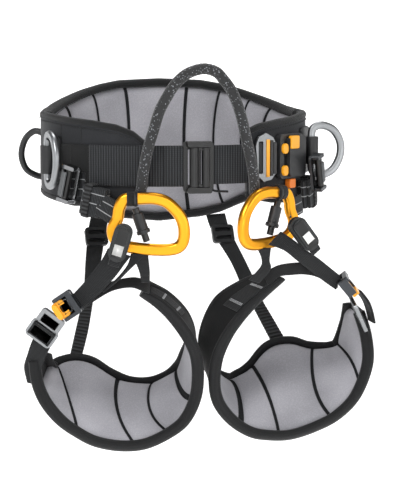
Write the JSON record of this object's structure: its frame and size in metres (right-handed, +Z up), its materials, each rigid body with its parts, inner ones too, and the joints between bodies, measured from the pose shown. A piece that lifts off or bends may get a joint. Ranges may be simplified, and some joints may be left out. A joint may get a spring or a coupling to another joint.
{
  "type": "tree climbing saddle",
  "caption": "Arborist seat harness: wide padded belt, two padded leg loops, gated front rings with a rope bridge, side rings and gear loops.",
  "frame": {"origin": "centre of the waist opening, half way up the belt at the hips", "axes": "+X to the viewer's right, +Y away from the viewer towards the wearer's back, +Z up"},
  "size_m": [0.3841, 0.2687, 0.4158],
  "materials": {
    "black_fabric": "woven nylon face fabric",
    "grey_padding": "breathable mesh over foam",
    "binding_tape": "folded edge tape",
    "webbing": "woven polyester webbing",
    "elastic": "ribbed elastic webbing",
    "rope": "braided sheath with light flecks",
    "black_steel": "black coated steel",
    "moulded_plastic": "moulded nylon",
    "grey_plastic": "moulded grey nylon",
    "silver_alloy": "satin anodised",
    "bright_steel": "polished",
    "gold_alloy": "gold anodised",
    "yellow_plastic": "moulded yellow",
    "orange_plastic": "moulded orange"
  },
  "bodies": {
    "harness": {"belt_shell": "black_fabric", "belt_padding": "grey_padding", "belt_binding": "binding_tape", "left_wing": "black_fabric", "right_wing": "black_fabric", "left_waist_webbing": "webbing", "right_waist_webbing": "webbing", "waist_buckle_frame": "black_steel", "waist_pull_cord": "elastic", "hip_tongue_plate": "silver_alloy", "hip_buckle_body": "grey_plastic", "left_ring_bracket": "moulded_plastic", "right_ring_bracket": "moulded_plastic", "left_gear_loop": "moulded_plastic", "right_gear_loop": "moulded_plastic", "rear_gear_loops": "moulded_plastic", "left_adjuster_frame": "bright_steel", "right_adjuster_frame": "bright_steel", "left_side_strap": "webbing", "right_side_strap": "webbing", "left_strap_bundle": "webbing", "right_strap_bundle": "webbing", "left_bundle_elastic": "elastic", "right_bundle_elastic": "elastic", "left_gated_ring": "gold_alloy", "right_gated_ring": "gold_alloy", "bridge_rope": "rope", "left_strap_keeper": "moulded_plastic", "right_strap_keeper": "moulded_plastic", "left_riser_strap": "webbing", "right_riser_strap": "webbing", "left_ladder_lock": "moulded_plastic", "right_ladder_lock": "moulded_plastic"},
    "waist_buckle_bar": {"waist_buckle_bar": "black_steel"},
    "hip_square_button": {"hip_square_button": "yellow_plastic"},
    "hip_upper_button": {"hip_upper_button": "yellow_plastic"},
    "hip_lower_button": {"hip_lower_button": "yellow_plastic"},
    "hip_release_tab": {"hip_release_tab": "orange_plastic"},
    "left_side_ring": {"left_side_ring": "silver_alloy"},
    "right_side_ring": {"right_side_ring": "silver_alloy"},
    "left_adjuster_bar": {"left_adjuster_bar": "black_steel"},
    "right_adjuster_bar": {"right_adjuster_bar": "black_steel"},
    "left_gate": {"left_gate": "black_steel"},
    "right_gate": {"right_gate": "black_steel"},
    "left_gate_sleeve": {"left_gate_sleeve": "moulded_plastic"},
    "right_gate_sleeve": {"right_gate_sleeve": "moulded_plastic"},
    "left_leg": {"left_leg_shell": "black_fabric", "left_leg_padding": "grey_padding", "left_leg_straps": "webbing", "left_leg_buckle": "silver_alloy", "left_leg_frame": "silver_alloy", "left_riser_elastic": "elastic"},
    "right_leg": {"right_leg_shell": "black_fabric", "right_leg_padding": "grey_padding", "right_leg_straps": "webbing", "right_leg_buckle": "silver_alloy", "right_leg_frame": "silver_alloy", "right_riser_elastic": "elastic"},
    "left_leg_lever": {"left_leg_lever": "yellow_plastic"},
    "right_leg_lever": {"right_leg_lever": "yellow_plastic"}
  },
  "joints": [
    {"name": "left_ring_tilt", "type": "hinge", "parent": "harness", "child": "left_side_ring", "pos_m": [-0.14484, -0.05047, 0.005], "axis": [0, 0, 1], "range_deg": [-120, 3]},
    {"name": "right_ring_tilt", "type": "hinge", "parent": "harness", "child": "right_side_ring", "pos_m": [0.14484, -0.05047, 0.012], "axis": [0, 0, 1], "range_deg": [-9, 50]},
    {"name": "left_gate_open", "type": "hinge", "parent": "harness", "child": "left_gate", "pos_m": [-0.0632, -0.12653, -0.034], "axis": [0.1736, 0.9848, 0], "range_deg": [-21, 0], "stiffness_Nm_per_rad": 0.02, "springref_deg": 28.65},
    {"name": "left_sleeve_turn", "type": "hinge", "parent": "left_gate", "child": "left_gate_sleeve", "pos_m": [-0.04842, -0.12913, -0.078], "axis": [-0.3178, 0.056, 0.9465], "range_deg": [0, 90], "stiffness_Nm_per_rad": 0.005, "springref_deg": -17.19},
    {"name": "right_gate_open", "type": "hinge", "parent": "harness", "child": "right_gate", "pos_m": [0.09596, -0.1094, -0.031], "axis": [0.5299, -0.848, 0], "range_deg": [-21, 0], "stiffness_Nm_per_rad": 0.02, "springref_deg": 28.65},
    {"name": "right_sleeve_turn", "type": "hinge", "parent": "right_gate", "child": "right_gate_sleeve", "pos_m": [0.08324, -0.11735, -0.075], "axis": [0.2736, 0.171, 0.9465], "range_deg": [0, 90], "stiffness_Nm_per_rad": 0.005, "springref_deg": -17.19},
    {"name": "left_leg_swing", "type": "hinge", "parent": "harness", "child": "left_leg", "pos_m": [-0.06, -0.128, -0.086], "axis": [1, 0, 0], "range_deg": [0, 25], "deforming": ["left_riser_strap", "left_riser_elastic"]},
    {"name": "right_leg_swing", "type": "hinge", "parent": "harness", "child": "right_leg", "pos_m": [0.09, -0.127, -0.086], "axis": [1, 0, 0], "range_deg": [0, 25], "deforming": ["right_riser_strap", "right_riser_elastic"]},
    {"name": "left_lever_lift", "type": "hinge", "parent": "left_leg", "child": "left_leg_lever", "pos_m": [-0.14326, -0.12392, -0.14905], "axis": [0.5426, -0.1353, -0.829], "range_deg": [0, 30], "stiffness_Nm_per_rad": 0.02, "springref_deg": -17.19},
    {"name": "right_lever_lift", "type": "hinge", "parent": "right_leg", "child": "right_leg_lever", "pos_m": [0.17999, -0.1084, -0.13972], "axis": [0.1853, 0.9703, 0.1555], "range_deg": [0, 30], "stiffness_Nm_per_rad": 0.02, "springref_deg": -17.19},
    {"name": "waist_bar_slide", "type": "slide", "parent": "harness", "child": "waist_buckle_bar", "axis": [0.9994, 0.0353, 0], "range_m": [-0.002, 0.002]},
    {"name": "left_adjuster_slide", "type": "slide", "parent": "harness", "child": "left_adjuster_bar", "axis": [0.6876, -0.6846, -0.2419], "range_m": [-0.0015, 0.0015]},
    {"name": "right_adjuster_slide", "type": "slide", "parent": "harness", "child": "right_adjuster_bar", "axis": [0.5708, 0.7847, 0.2419], "range_m": [-0.0015, 0.0015]},
    {"name": "hip_square_button_press", "type": "slide", "parent": "harness", "child": "hip_square_button", "axis": [-0.6668, 0.7452, 0], "range_m": [0, 0.003], "stiffness_N_per_m": 300, "springref_m": -0.001},
    {"name": "hip_upper_button_press", "type": "slide", "parent": "harness", "child": "hip_upper_button", "axis": [-0.6668, 0.7452, 0], "range_m": [0, 0.003], "stiffness_N_per_m": 300, "springref_m": -0.001},
    {"name": "hip_lower_button_press", "type": "slide", "parent": "harness", "child": "hip_lower_button", "axis": [-0.6668, 0.7452, 0], "range_m": [0, 0.003], "stiffness_N_per_m": 300, "springref_m": -0.001},
    {"name": "hip_tab_pull", "type": "slide", "parent": "harness", "child": "hip_release_tab", "axis": [0, 0, -1], "range_m": [0, 0.003], "stiffness_N_per_m": 300, "springref_m": -0.001}
  ]
}
